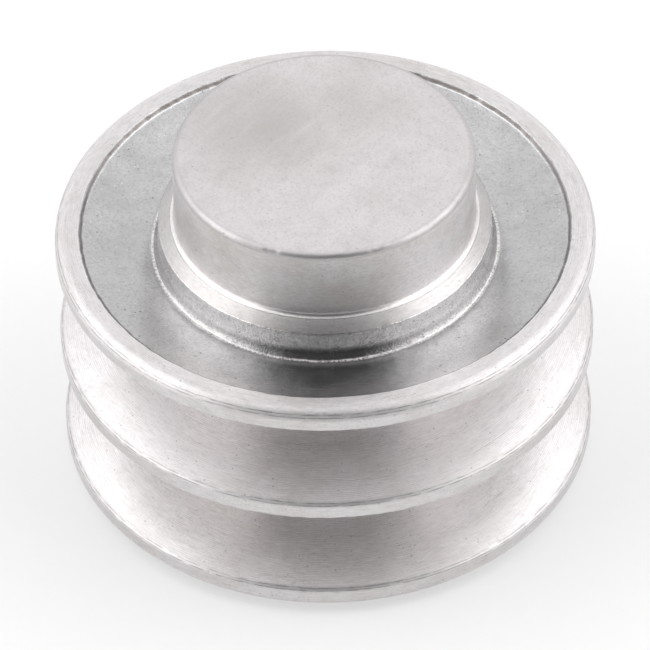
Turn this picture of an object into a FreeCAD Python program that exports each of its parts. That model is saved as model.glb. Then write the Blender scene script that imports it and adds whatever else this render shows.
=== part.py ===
"""Two-groove V-belt pulley with a closed hub, free-running on two sealed ball bearings.

The cast pulley turns on an axle bush that a bolt clamps to a bracket behind it. Millimetres, +Z along
the axis towards the closed hub, origin on the axis in the bracket's plane, which is the collar's rear face.
The casting's own sketches measure from the rim's rear face, which stands running_gap in front of that plane.
"""

import FreeCAD, Part
import os
import Sketcher

# alias, value in millimetres or degrees, what it is
DIMENSIONS = (
    ("outside_radius", 42.5, "over the belt lands"),
    ("rim_width", 42.0, "rear face to front face"),
    ("running_gap", 2.0, "rim's rear face to the bracket"),
    ("groove_count", 2, "classical section B grooves"),
    ("groove_pitch", 19.0, "groove centre to groove centre"),
    ("edge_distance", 11.5, "rim face to the nearest groove's centre"),
    ("groove_angle", 34.0, "between the two flanks, degrees"),
    ("datum_width", 14.0, "groove width at the datum diameter"),
    ("datum_inset", 3.5, "lands to the datum diameter, on radius"),
    ("datum_depth", 10.8, "datum diameter to the groove's floor, on radius"),
    ("land_round", 0.3, "round on the groove mouths' front edges"),
    ("flange_round", 0.9, "round on the groove mouths' rear edges, which face the front"),
    ("rim_round", 1.6, "round on the rim's front outer corner"),
    ("rear_rim_round", 0.9, "round on the rim's rear outer corner"),
    ("floor_round", 0.8, "round in the groove floors"),
    ("overcut", 1.0, "how far a cutting sketch runs past the metal"),
    ("rim_face_radius", 38.7, "inner edge of the turned front rim face"),
    ("recess_radius", 38.1, "foot of the small step inside the rim face"),
    ("recess_depth", 0.75, "rim face down to the foot of that step"),
    ("web_drop", 3.8, "rim face down to the web at the hub's base"),
    ("base_foot_radius", 26.9, "as-cast base at the web"),
    ("base_top_radius", 26.2, "as-cast base at the turned ledge"),
    ("base_height", 43.15, "rear face to the ledge's outer edge"),
    ("ledge_radius", 24.45, "ledge's inner edge"),
    ("ledge_height", 44.6, "rear face to the ledge's inner edge"),
    ("hub_radius", 23.6, "turned boss"),
    ("hub_height", 57.2, "rear face to the closed hub face"),
    ("hub_edge_round", 1.0, "round on the hub face's edge"),
    ("hub_foot_round", 0.8, "fillet where the boss meets the ledge"),
    ("base_foot_round", 0.5, "fillet where the base meets the web"),
    ("step_round", 0.4, "fillet at the foot of the rim face's step"),
    ("rear_land_radius", 23.5, "outer edge of the turned land round the bore"),
    ("rear_rim_radius", 38.0, "inner edge of the turned rear rim face"),
    ("rear_dish_depth", 2.2, "depth of the as-cast dish between them"),
    ("rear_dish_draft", 0.8, "how far the dish's walls lean over that depth"),
    ("shield_seat_radius", 20.0, "counterbore for the dust shield"),
    ("shield_seat_depth", 4.0, "depth of that counterbore"),
    ("seat_depth", 49.2, "rear face to the shoulder that the front bearing meets"),
    ("relief_radius", 14.0, "pocket beyond the shoulder"),
    ("relief_depth", 3.0, "depth of that pocket"),
    ("bore_chamfer", 0.6, "lead-in of the bearing bore and its counterbore"),
    ("bearing_bore", 7.5, "bearing 15 x 35 x 11: inner ring's bore radius"),
    ("bearing_radius", 17.5, "outer ring's radius"),
    ("bearing_width", 11.0, "both rings"),
    ("inner_shoulder", 10.75, "inner ring's shoulder radius"),
    ("outer_shoulder", 14.25, "outer ring's shoulder radius"),
    ("ring_chamfer", 0.6, "on the corners that meet the shaft and the bore"),
    ("seal_seat_radius", 15.3, "recess in the outer ring that holds a seal"),
    ("seal_setback", 0.35, "ring's face to the seal's outer face"),
    ("seal_thickness", 1.0, "rubber-covered steel disc"),
    ("seal_lip_thickness", 0.5, "rubber lip that runs on the inner ring"),
    ("seal_lip_radius", 12.0, "where the disc thins to the lip"),
    ("lip_clearance", 0.1, "lip to the inner ring's shoulder"),
    ("ball_count", 8, "in each bearing"),
    ("ball_radius", 2.9765, "15/64 inch balls"),
    ("ball_circle", 12.5, "radius of the circle through the ball centres"),
    ("ball_clearance", 0.05, "ball to either raceway's floor"),
    ("raceway_radius", 3.066, "raceway's own curve, 1.03 of the ball"),
    ("cage_inner_radius", 11.5, "one-piece cage"),
    ("cage_outer_radius", 13.5, "one-piece cage"),
    ("cage_width", 7.2, "one-piece cage"),
    ("pocket_clearance", 0.12, "ball to its pocket"),
    ("spacer_length", 20.0, "between the two bearings"),
    ("inner_spacer_radius", 9.6, "outside of the sleeve between the inner rings"),
    ("outer_spacer_radius", 15.6, "inside of the ring between the outer rings"),
    ("circlip_thickness", 1.5, "internal ring for a 35 mm bore"),
    ("circlip_slot_width", 1.6, "its groove in the bore"),
    ("circlip_slot_radius", 18.5, "its groove's floor"),
    ("circlip_radius", 18.4, "its outside when it is in the groove"),
    ("circlip_inner_radius", 15.9, "its inside"),
    ("circlip_offset", 0.7, "inside circle's centre, towards the lugs"),
    ("lug_inner", 13.1, "lugs' nearest distance to the axis"),
    ("lug_outer", 17.4, "lugs' root"),
    ("lug_half_width", 4.5, "both lugs together, half"),
    ("lug_round", 1.2, "lugs' corners"),
    ("lug_gap", 2.6, "between the lugs"),
    ("lug_hole_radius", 1.25, "plier holes"),
    ("lug_hole_x", 2.9, "plier hole to the gap's middle"),
    ("lug_hole_y", 14.9, "plier hole to the axis, along the gap"),
    ("flange_radius", 10.0, "bush's flange in front of the front bearing"),
    ("flange_thickness", 2.0, "that flange"),
    ("bush_setback", 0.6, "bush's rear end to the bracket"),
    ("bush_chamfer", 0.4, "bush's rear corner"),
    ("thread_depth", 26.0, "M10 tapped hole in the bush, full diameter"),
    ("mouth_chamfer", 0.8, "lead-in of the tapped hole"),
    ("collar_radius", 12.0, "collar that meets the bracket"),
    ("collar_nose_radius", 10.6, "its nose, which meets the rear inner ring"),
    ("collar_step", 5.5, "bracket to the nose's root"),
    ("collar_chamfer", 0.4, "its edges"),
    ("collar_pocket_radius", 8.7, "pocket round the snap ring"),
    ("collar_pocket_depth", 2.2, "bracket to that pocket's floor"),
    ("snap_wire_radius", 0.5, "round-wire snap ring on the bush"),
    ("snap_circle", 7.6, "radius of the wire's centre line"),
    ("snap_angle", 330.0, "how far round the wire goes, degrees"),
    ("snap_slot_radius", 0.55, "round-bottomed groove for it"),
    ("shield_thickness", 0.8, "pressed sheet"),
    ("shield_flange", 2.8, "height of its outer flange"),
    ("shield_lip", 1.6, "height of its inner lip"),
    ("shield_inner_radius", 12.4, "its hole, round the collar"),
)

# Places along the axis that several pieces share, measured from the rim's rear face
REAR_FACE_OF_REAR_BEARING = "(dims.seat_depth - 2 * dims.bearing_width - dims.spacer_length)"
REAR_BEARING_CENTRE = f"({REAR_FACE_OF_REAR_BEARING} + dims.bearing_width / 2)"
FRONT_BEARING_CENTRE = "(dims.seat_depth - dims.bearing_width / 2)"
FROM_BRACKET = "dims.running_gap + "
TURN = 360
QUARTER_TURN = 90


def make_sheet(doc):
    """One cell for each driving dimension, with its alias and its meaning beside it."""
    sheet = doc.addObject("Spreadsheet::Sheet", "dims")
    for row, (alias, value, meaning) in enumerate(DIMENSIONS, start=1):
        sheet.set(f"A{row}", alias)
        sheet.set(f"B{row}", str(value))
        sheet.setAlias(f"B{row}", alias)
        sheet.set(f"C{row}", meaning)
    doc.recompute()
    return sheet


def origin_feature(body, role):
    return next(item for item in body.Origin.OriginFeatures if item.Role == role)


def make_body(doc, name, height="0"):
    """An empty body whose place along the axis is bound to the sheet."""
    body = doc.addObject("PartDesign::Body", name)
    body.Label = name
    body.setExpression("Placement.Base.z", height)
    return body


def make_sketch(body, name, role="XZ_Plane"):
    """A sketch on one of the body's own planes: on XZ, its x is the radius and its y the height."""
    sketch = body.newObject("Sketcher::SketchObject", name)
    sketch.AttachmentSupport = [(origin_feature(body, role), "")]
    sketch.MapMode = "FlatFace"
    return sketch


def value_of(sketch, expression):
    """The number that an expression gives now, to place geometry before it is constrained."""
    return float(sketch.evalExpression(expression))


def place_point(sketch, index, which, x, y):
    """Fix one point of the geometry at two expressions, measured from the sketch's origin."""
    for kind, axis, expression in (("DistanceX", -2, x), ("DistanceY", -1, y)):
        if value_of(sketch, expression) == 0:
            sketch.addConstraint(Sketcher.Constraint("PointOnObject", index, which, axis))
            continue
        start = value_of(sketch, expression)
        number = sketch.addConstraint(Sketcher.Constraint(kind, -1, 1, index, which, start))
        sketch.setExpression(f"Constraints[{number}]", expression)


def draw_outline(sketch, corners):
    """A closed outline of straight sides through corners given as pairs of expressions."""
    points = [FreeCAD.Vector(value_of(sketch, x), value_of(sketch, y), 0) for x, y in corners]
    for index, point in enumerate(points):
        following = points[(index + 1) % len(points)]
        sketch.addGeometry(Part.LineSegment(point, following))
    for index, (x, y) in enumerate(corners):
        following = (index + 1) % len(corners)
        sketch.addConstraint(Sketcher.Constraint("Coincident", index, 2, following, 1))
        place_point(sketch, index, 1, x, y)


def draw_circle(sketch, x, y, radius):
    """A circle whose centre and radius are bound to expressions."""
    centre = FreeCAD.Vector(value_of(sketch, x), value_of(sketch, y), 0)
    circle = Part.Circle(centre, FreeCAD.Vector(0, 0, 1), value_of(sketch, radius))
    index = sketch.addGeometry(circle)
    place_point(sketch, index, 3, x, y)
    number = sketch.addConstraint(Sketcher.Constraint("Radius", index, circle.Radius))
    sketch.setExpression(f"Constraints[{number}]", radius)


def turned(body, sketch, kind, name, angle=str(TURN)):
    """A Revolution or a Groove of a sketch about the body's Z axis."""
    feature = body.newObject(f"PartDesign::{kind}", name)
    feature.Profile = sketch
    feature.ReferenceAxis = (origin_feature(body, "Z_Axis"), [""])
    feature.setExpression("Angle", angle)
    body.Document.recompute()
    return feature


def turn_solid(body, name, corners, angle=str(TURN)):
    sketch = make_sketch(body, f"{name}_section")
    draw_outline(sketch, corners)
    return turned(body, sketch, "Revolution", name, angle)


def turn_cut(body, name, corners):
    sketch = make_sketch(body, f"{name}_section")
    draw_outline(sketch, corners)
    return turned(body, sketch, "Groove", name)


def turn_round_cut(body, name, x, y, radius):
    """A ring-shaped cut of round section."""
    sketch = make_sketch(body, f"{name}_section")
    draw_circle(sketch, x, y, radius)
    return turned(body, sketch, "Groove", name)


def extruded(body, sketch, kind, name, length):
    """A Pad or a Pocket of a sketch on the XY plane, in the direction of +Z."""
    feature = body.newObject(f"PartDesign::{kind}", name)
    feature.Profile = sketch
    feature.Reversed = kind == "Pocket"
    feature.setExpression("Length", length)
    body.Document.recompute()
    return feature


def round_pattern(body, feature, name, count):
    """Repeat one feature evenly round the Z axis."""
    pattern = body.newObject("PartDesign::PolarPattern", name)
    pattern.Originals = [feature]
    pattern.Axis = (origin_feature(body, "Z_Axis"), [""])
    pattern.Angle = TURN
    pattern.setExpression("Occurrences", count)
    body.Tip = pattern
    body.Document.recompute()
    return pattern


def ring_edges(body, rings):
    """Names of the round edges of the body's tip that lie at the given radius and height pairs."""
    near = 0.01
    wanted = [[float(body.evalExpression(item)) for item in ring] for ring in rings]
    names = []
    for number, edge in enumerate(body.Tip.Shape.Edges, start=1):
        curve = edge.Curve
        if not isinstance(curve, Part.Circle):
            continue
        found = (curve.Radius, curve.Center.z)
        if any(all(abs(a - b) < near for a, b in zip(found, ring)) for ring in wanted):
            names.append(f"Edge{number}")
    if len(names) < len(rings):
        raise ValueError(f"{body.Label}: {len(names)} edges found for {len(rings)} rings")
    return names


def dress(body, kind, name, size, edges):
    """A Fillet or a Chamfer on named edges of the body's tip."""
    base = body.Tip
    feature = body.newObject(f"PartDesign::{kind}", name)
    feature.Base = (base, edges)
    feature.setExpression("Radius" if kind == "Fillet" else "Size", size)
    body.Document.recompute()
    return feature


def round_rings(body, name, size, *rings):
    return dress(body, "Fillet", name, size, ring_edges(body, rings))


def bevel_rings(body, name, size, *rings):
    return dress(body, "Chamfer", name, size, ring_edges(body, rings))


def groove_centre(number):
    return f"(dims.edge_distance + {number} * dims.groove_pitch)"


# Half the groove's width at a given distance outside its floor
HALF_FLOOR = "(dims.datum_width / 2 - dims.datum_depth * tan(dims.groove_angle / 2))"
GROOVE_FLOOR = "(dims.outside_radius - dims.datum_inset - dims.datum_depth)"
HALF_MOUTH = "(dims.datum_width / 2 + dims.datum_inset * tan(dims.groove_angle / 2))"
OVERCUT_SPREAD = "(dims.overcut * tan(dims.groove_angle / 2))"


def turn_blank(body):
    """Rim, dished web, stepped base and closed boss, before the grooves and the bore are cut."""
    turn_solid(body, "blank", (
        ("0", "0"),
        ("dims.rear_land_radius", "0"),
        ("dims.rear_land_radius + dims.rear_dish_draft", "dims.rear_dish_depth"),
        ("dims.rear_rim_radius - dims.rear_dish_draft", "dims.rear_dish_depth"),
        ("dims.rear_rim_radius", "0"),
        ("dims.outside_radius", "0"),
        ("dims.outside_radius", "dims.rim_width"),
        ("dims.rim_face_radius", "dims.rim_width"),
        ("dims.recess_radius", "dims.rim_width - dims.recess_depth"),
        ("dims.base_foot_radius", "dims.rim_width - dims.web_drop"),
        ("dims.base_top_radius", "dims.base_height"),
        ("dims.ledge_radius", "dims.ledge_height"),
        ("dims.hub_radius", "dims.ledge_height"),
        ("dims.hub_radius", "dims.hub_height"),
        ("0", "dims.hub_height"),
    ))


def cut_belt_grooves(body):
    """One V groove near the rear face, repeated along the axis."""
    centre = groove_centre(0)
    cut_radius = "dims.outside_radius + dims.overcut"
    first = turn_cut(body, "belt_groove", (
        (GROOVE_FLOOR, f"{centre} - {HALF_FLOOR}"),
        (cut_radius, f"{centre} - {HALF_MOUTH} - {OVERCUT_SPREAD}"),
        (cut_radius, f"{centre} + {HALF_MOUTH} + {OVERCUT_SPREAD}"),
        (GROOVE_FLOOR, f"{centre} + {HALF_FLOOR}"),
    ))
    pattern = body.newObject("PartDesign::LinearPattern", "belt_grooves")
    pattern.Originals = [first]
    pattern.Direction = (origin_feature(body, "Z_Axis"), [""])
    pattern.setExpression("Length", "dims.groove_pitch * (dims.groove_count - 1)")
    pattern.setExpression("Occurrences", "dims.groove_count")
    body.Tip = pattern
    body.Document.recompute()


def bore_housing(body):
    """The blind bearing bore from the rear, its shoulder and pocket, and the circlip's groove."""
    turn_cut(body, "bearing_bore", (
        ("0", "-dims.overcut"),
        ("dims.shield_seat_radius", "-dims.overcut"),
        ("dims.shield_seat_radius", "dims.shield_seat_depth"),
        ("dims.bearing_radius", "dims.shield_seat_depth"),
        ("dims.bearing_radius", "dims.seat_depth"),
        ("dims.relief_radius", "dims.seat_depth"),
        ("dims.relief_radius", "dims.seat_depth + dims.relief_depth"),
        ("0", "dims.seat_depth + dims.relief_depth"),
    ))
    slot_front = REAR_FACE_OF_REAR_BEARING
    slot_rear = f"{slot_front} - dims.circlip_slot_width"
    turn_cut(body, "circlip_slot", (
        ("dims.bearing_radius - dims.overcut", slot_rear),
        ("dims.circlip_slot_radius", slot_rear),
        ("dims.circlip_slot_radius", slot_front),
        ("dims.bearing_radius - dims.overcut", slot_front),
    ))


def ease_casting(body):
    """Rounds of the rim, the grooves, the boss and the as-cast corners, and the bore's lead-ins."""
    grooves = [groove_centre(0), groove_centre(1)]
    front_mouths = [("dims.outside_radius", f"{c} + {HALF_MOUTH}") for c in grooves]
    rear_mouths = [("dims.outside_radius", f"{c} - {HALF_MOUTH}") for c in grooves]
    floors = [(GROOVE_FLOOR, f"{c} {side} {HALF_FLOOR}") for c in grooves for side in "+-"]
    round_rings(body, "front_mouths", "dims.land_round", *front_mouths)
    round_rings(body, "rear_mouths", "dims.flange_round", *rear_mouths)
    round_rings(body, "groove_floors", "dims.floor_round", *floors)
    round_rings(body, "rim_corner", "dims.rim_round", ("dims.outside_radius", "dims.rim_width"))
    round_rings(body, "rear_rim_corner", "dims.rear_rim_round", ("dims.outside_radius", "0"))
    round_rings(body, "hub_edge", "dims.hub_edge_round", ("dims.hub_radius", "dims.hub_height"))
    round_rings(body, "hub_foot", "dims.hub_foot_round", ("dims.hub_radius", "dims.ledge_height"))
    base_foot = ("dims.base_foot_radius", "dims.rim_width - dims.web_drop")
    round_rings(body, "base_foot", "dims.base_foot_round", base_foot)
    step_foot = ("dims.recess_radius", "dims.rim_width - dims.recess_depth")
    round_rings(body, "step_foot", "dims.step_round", step_foot)
    dish = [
        ("dims.rear_land_radius + dims.rear_dish_draft", "dims.rear_dish_depth"),
        ("dims.rear_rim_radius - dims.rear_dish_draft", "dims.rear_dish_depth"),
    ]
    round_rings(body, "rear_dish", "dims.rear_dish_draft", *dish)
    mouth = [
        ("dims.shield_seat_radius", "0"),
        ("dims.bearing_radius", "dims.shield_seat_depth"),
    ]
    bevel_rings(body, "bore_lead_ins", "dims.bore_chamfer", *mouth)


def make_casting(doc):
    body = make_body(doc, "pulley_casting", "dims.running_gap")
    turn_blank(body)
    cut_belt_grooves(body)
    bore_housing(body)
    ease_casting(body)
    return body


def make_outer_ring(doc, prefix, centre):
    """Outer ring with a stepped recess at each end for a seal, and a round raceway."""
    body = make_body(doc, f"{prefix}_outer_ring", centre)
    half = "dims.bearing_width / 2"
    seat = f"{half} - dims.seal_setback - dims.seal_thickness"
    turn_solid(body, "ring", (
        ("dims.outer_shoulder", f"-({seat})"),
        ("dims.seal_seat_radius", f"-({seat})"),
        ("dims.seal_seat_radius", f"-{half}"),
        ("dims.bearing_radius", f"-{half}"),
        ("dims.bearing_radius", half),
        ("dims.seal_seat_radius", half),
        ("dims.seal_seat_radius", seat),
        ("dims.outer_shoulder", seat),
    ))
    raceway = "dims.ball_circle + dims.ball_radius + dims.ball_clearance - dims.raceway_radius"
    turn_round_cut(body, "raceway", raceway, "0", "dims.raceway_radius")
    corners = [("dims.bearing_radius", half), ("dims.bearing_radius", f"-{half}")]
    bevel_rings(body, "corners", "dims.ring_chamfer", *corners)
    return body


def make_inner_ring(doc, prefix, centre):
    body = make_body(doc, f"{prefix}_inner_ring", centre)
    half = "dims.bearing_width / 2"
    turn_solid(body, "ring", (
        ("dims.bearing_bore", f"-{half}"),
        ("dims.inner_shoulder", f"-{half}"),
        ("dims.inner_shoulder", half),
        ("dims.bearing_bore", half),
    ))
    raceway = "dims.ball_circle - dims.ball_radius - dims.ball_clearance + dims.raceway_radius"
    turn_round_cut(body, "raceway", raceway, "0", "dims.raceway_radius")
    corners = [("dims.bearing_bore", half), ("dims.bearing_bore", f"-{half}")]
    bevel_rings(body, "corners", "dims.ring_chamfer", *corners)
    return body


def add_sphere(body, kind, name, radius):
    """A sphere on the ball circle, added to the body or cut from it, with its poles along the radius."""
    sphere = body.newObject(f"PartDesign::{kind}Sphere", name)
    sphere.AttachmentSupport = [(origin_feature(body, "XY_Plane"), "")]
    sphere.MapMode = "FlatFace"
    lean = FreeCAD.Rotation(FreeCAD.Vector(0, 1, 0), QUARTER_TURN)
    sphere.AttachmentOffset = FreeCAD.Placement(FreeCAD.Vector(), lean)
    sphere.setExpression("AttachmentOffset.Base.x", "dims.ball_circle")
    sphere.setExpression("Radius", radius)
    body.Document.recompute()
    return sphere


def make_balls(doc, prefix, centre):
    """The bearing's balls, separate solids in one piece of stock."""
    body = make_body(doc, f"{prefix}_balls", centre)
    body.AllowCompound = True
    ball = add_sphere(body, "Additive", "ball", "dims.ball_radius")
    round_pattern(body, ball, "balls", "dims.ball_count")
    return body


def make_cage(doc, prefix, centre):
    """A one-piece cage: a flat band with a round pocket for each ball."""
    body = make_body(doc, f"{prefix}_cage", centre)
    half = "dims.cage_width / 2"
    turn_solid(body, "band", (
        ("dims.cage_inner_radius", f"-{half}"),
        ("dims.cage_outer_radius", f"-{half}"),
        ("dims.cage_outer_radius", half),
        ("dims.cage_inner_radius", half),
    ))
    pocket = add_sphere(body, "Subtractive", "pocket", "dims.ball_radius + dims.pocket_clearance")
    round_pattern(body, pocket, "pockets", "dims.ball_count")
    return body


def make_seal(doc, prefix, end, centre, side):
    """A seal disc at one end of a bearing; side is 1 for the front end and -1 for the rear."""
    body = make_body(doc, f"{prefix}_{end}_seal", centre)
    outside = "dims.bearing_width / 2 - dims.seal_setback"
    inside = f"{outside} - dims.seal_thickness"
    lip_front = f"{inside} + (dims.seal_thickness + dims.seal_lip_thickness) / 2"
    lip_rear = f"{inside} + (dims.seal_thickness - dims.seal_lip_thickness) / 2"
    lip = "dims.inner_shoulder + dims.lip_clearance"
    corners = (
        ("dims.seal_seat_radius", inside),
        ("dims.seal_seat_radius", outside),
        ("dims.seal_lip_radius", outside),
        ("dims.seal_lip_radius", lip_front),
        (lip, lip_front),
        (lip, lip_rear),
        ("dims.seal_lip_radius", lip_rear),
        ("dims.seal_lip_radius", inside),
    )
    turn_solid(body, "disc", [(radius, f"{side} * ({height})") for radius, height in corners])
    return body


def make_bearing(doc, prefix, centre):
    """The six kinds of piece in one sealed deep-groove ball bearing."""
    return [
        make_outer_ring(doc, prefix, centre),
        make_inner_ring(doc, prefix, centre),
        make_balls(doc, prefix, centre),
        make_cage(doc, prefix, centre),
        make_seal(doc, prefix, "front", centre, 1),
        make_seal(doc, prefix, "rear", centre, -1),
    ]


def make_spacer(doc, name, inner, outer):
    """A plain tube between the two bearings."""
    height = f"{FROM_BRACKET}{REAR_FACE_OF_REAR_BEARING} + dims.bearing_width"
    body = make_body(doc, name, height)
    turn_solid(body, "tube", (
        (inner, "0"),
        (outer, "0"),
        (outer, "dims.spacer_length"),
        (inner, "dims.spacer_length"),
    ))
    return body


def make_housing_circlip(doc):
    """Internal circlip: an eccentric ring with two lugs at its gap, and a plier hole in each."""
    height = f"{FROM_BRACKET}{REAR_FACE_OF_REAR_BEARING} - dims.circlip_thickness"
    body = make_body(doc, "housing_circlip", height)
    ring = make_sketch(body, "ring_outline", "XY_Plane")
    draw_circle(ring, "0", "0", "dims.circlip_radius")
    draw_circle(ring, "0", "dims.circlip_offset", "dims.circlip_inner_radius")
    extruded(body, ring, "Pad", "ring", "dims.circlip_thickness")
    lugs = make_sketch(body, "lug_outline", "XY_Plane")
    draw_outline(lugs, (
        ("-dims.lug_half_width", "dims.lug_inner"),
        ("dims.lug_half_width", "dims.lug_inner"),
        ("dims.lug_half_width", "dims.lug_outer"),
        ("-dims.lug_half_width", "dims.lug_outer"),
    ))
    extruded(body, lugs, "Pad", "lugs", "dims.circlip_thickness")
    gap = make_sketch(body, "gap_outline", "XY_Plane")
    gap_end = "dims.circlip_radius + dims.overcut"
    draw_outline(gap, (
        ("-dims.lug_gap / 2", "dims.lug_inner - dims.overcut"),
        ("dims.lug_gap / 2", "dims.lug_inner - dims.overcut"),
        ("dims.lug_gap / 2", gap_end),
        ("-dims.lug_gap / 2", gap_end),
    ))
    extruded(body, gap, "Pocket", "gap", "dims.circlip_thickness")
    holes = make_sketch(body, "hole_outline", "XY_Plane")
    for sign in ("-", ""):
        draw_circle(holes, f"{sign}dims.lug_hole_x", "dims.lug_hole_y", "dims.lug_hole_radius")
    extruded(body, holes, "Pocket", "plier_holes", "dims.circlip_thickness")
    corner_x = float(body.evalExpression("dims.lug_half_width"))
    corner_y = float(body.evalExpression("dims.lug_inner"))
    edges = []
    for number, edge in enumerate(body.Tip.Shape.Edges, start=1):
        middle = edge.BoundBox.Center
        at_corner = abs(abs(middle.x) - corner_x) < 0.01 and abs(middle.y - corner_y) < 0.01
        if at_corner and edge.BoundBox.ZLength > edge.BoundBox.XLength:
            edges.append(f"Edge{number}")
    dress(body, "Fillet", "lug_corners", "dims.lug_round", edges)
    return body


def make_axle_bush(doc):
    """Flanged bush through both bearings, tapped M10 from the rear, with a snap ring's groove."""
    body = make_body(doc, "axle_bush")
    flange_rear = "dims.running_gap + dims.seat_depth"
    turn_solid(body, "bush", (
        ("0", "dims.bush_setback"),
        ("dims.bearing_bore", "dims.bush_setback"),
        ("dims.bearing_bore", flange_rear),
        ("dims.flange_radius", flange_rear),
        ("dims.flange_radius", f"{flange_rear} + dims.flange_thickness"),
        ("0", f"{flange_rear} + dims.flange_thickness"),
    ))
    bevel_rings(body, "rear_corner", "dims.bush_chamfer", ("dims.bearing_bore", "dims.bush_setback"))
    slot_height = "dims.collar_pocket_depth - dims.snap_wire_radius"
    turn_round_cut(body, "snap_slot", "dims.snap_circle", slot_height, "dims.snap_slot_radius")
    tap_hole(body)
    return body


def tap_hole(body):
    """The M10 hole at its tapping size, with a conical end and a chamfered mouth."""
    centre = make_sketch(body, "hole_centre", "XY_Plane")
    centre.setExpression("AttachmentOffset.Base.z", "dims.bush_setback")
    draw_circle(centre, "0", "0", "dims.bearing_bore / 2")
    body.Document.recompute()
    hole = body.newObject("PartDesign::Hole", "tapped_hole")
    hole.Profile = centre
    hole.Reversed = True
    hole.ThreadType = "ISOMetricProfile"
    hole.ThreadSize = "M10x1.5"
    hole.Threaded = True
    hole.DepthType = "Dimension"
    hole.setExpression("Depth", "dims.thread_depth")
    hole.DrillPoint = "Angled"
    body.Document.recompute()
    mouth = [(f"{hole.Diameter.Value / 2}", "dims.bush_setback")]
    bevel_rings(body, "hole_mouth", "dims.mouth_chamfer", *mouth)


def make_rear_collar(doc):
    """Collar on the bush from the rear inner ring to the bracket, pocketed round the snap ring."""
    body = make_body(doc, "rear_collar")
    nose = f"{FROM_BRACKET}{REAR_FACE_OF_REAR_BEARING}"
    turn_solid(body, "collar", (
        ("dims.collar_pocket_radius", "0"),
        ("dims.collar_radius", "0"),
        ("dims.collar_radius", "dims.collar_step"),
        ("dims.collar_nose_radius", "dims.collar_step"),
        ("dims.collar_nose_radius", nose),
        ("dims.bearing_bore", nose),
        ("dims.bearing_bore", "dims.collar_pocket_depth"),
        ("dims.collar_pocket_radius", "dims.collar_pocket_depth"),
    ))
    edges = [
        ("dims.collar_radius", "0"),
        ("dims.collar_pocket_radius", "0"),
        ("dims.collar_radius", "dims.collar_step"),
    ]
    bevel_rings(body, "edges", "dims.collar_chamfer", *edges)
    return body


def make_snap_ring(doc):
    """Round wire that holds the collar, bearings and spacers on the bush before it is bolted up."""
    body = make_body(doc, "axle_snap_ring")
    sketch = make_sketch(body, "wire_section")
    height = "dims.collar_pocket_depth - dims.snap_wire_radius"
    draw_circle(sketch, "dims.snap_circle", height, "dims.snap_wire_radius")
    turned(body, sketch, "Revolution", "wire", "dims.snap_angle")
    return body


def make_dust_shield(doc):
    """A pressed pan: outer flange in the counterbore, flat disc, and a lip turned up at its hole."""
    body = make_body(doc, "dust_shield", "dims.running_gap")
    floor = "dims.shield_seat_depth"
    back = f"{floor} - dims.shield_thickness"
    turn_solid(body, "pan", (
        ("dims.shield_seat_radius - dims.shield_thickness", f"{floor} - dims.shield_flange"),
        ("dims.shield_seat_radius", f"{floor} - dims.shield_flange"),
        ("dims.shield_seat_radius", floor),
        ("dims.shield_inner_radius", floor),
        ("dims.shield_inner_radius", f"{floor} - dims.shield_lip"),
        ("dims.shield_inner_radius + dims.shield_thickness", f"{floor} - dims.shield_lip"),
        ("dims.shield_inner_radius + dims.shield_thickness", back),
        ("dims.shield_seat_radius - dims.shield_thickness", back),
    ))
    return body


def check_document(doc, bodies):
    """Stop before anything is written if a feature failed or a shape isn't a valid solid."""
    for item in doc.Objects:
        if "Invalid" in item.State or "Error" in item.State:
            raise RuntimeError(f"{item.Label} failed: {item.State}")
    for body in bodies:
        if body.Shape.isNull() or not body.Shape.isValid() or not body.Shape.Solids:
            raise RuntimeError(f"{body.Label} has no valid solid")


def main():
    doc = FreeCAD.newDocument("v_belt_pulley")
    make_sheet(doc)
    bodies = [make_casting(doc)]
    bodies += make_bearing(doc, "front_bearing", f"{FROM_BRACKET}{FRONT_BEARING_CENTRE}")
    bodies += make_bearing(doc, "rear_bearing", f"{FROM_BRACKET}{REAR_BEARING_CENTRE}")
    bodies += [
        make_spacer(doc, "inner_spacer_sleeve", "dims.bearing_bore", "dims.inner_spacer_radius"),
        make_spacer(doc, "outer_spacer_ring", "dims.outer_spacer_radius", "dims.bearing_radius"),
        make_housing_circlip(doc),
        make_axle_bush(doc),
        make_rear_collar(doc),
        make_snap_ring(doc),
        make_dust_shield(doc),
    ]
    doc.recompute()
    check_document(doc, bodies)
    os.makedirs("parts", exist_ok=True)
    for body in bodies:
        body.Shape.exportStep(f"parts/{body.Label}.step")
        print(f"{body.Label}: {len(body.Shape.Solids)} solids, {body.Shape.Volume:.1f} mm3")


main()
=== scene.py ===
"""Looks of the v belt pulley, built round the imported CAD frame. Metres, row frame, front face up."""

import math

import bpy
from mathutils import Matrix, Vector, noise


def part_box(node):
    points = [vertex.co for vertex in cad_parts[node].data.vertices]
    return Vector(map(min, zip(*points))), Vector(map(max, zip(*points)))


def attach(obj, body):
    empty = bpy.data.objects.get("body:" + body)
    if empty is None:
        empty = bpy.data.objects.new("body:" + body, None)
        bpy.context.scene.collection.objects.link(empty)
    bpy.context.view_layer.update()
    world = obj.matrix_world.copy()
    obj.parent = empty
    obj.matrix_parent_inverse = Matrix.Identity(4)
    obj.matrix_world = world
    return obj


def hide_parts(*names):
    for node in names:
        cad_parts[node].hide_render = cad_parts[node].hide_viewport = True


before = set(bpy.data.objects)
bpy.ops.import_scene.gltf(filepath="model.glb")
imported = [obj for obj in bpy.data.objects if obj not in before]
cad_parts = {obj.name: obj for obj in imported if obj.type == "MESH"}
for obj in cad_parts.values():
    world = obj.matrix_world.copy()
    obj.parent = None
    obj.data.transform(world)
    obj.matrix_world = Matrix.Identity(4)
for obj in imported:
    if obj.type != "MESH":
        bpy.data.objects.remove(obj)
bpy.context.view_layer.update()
MM = 0.001

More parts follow.
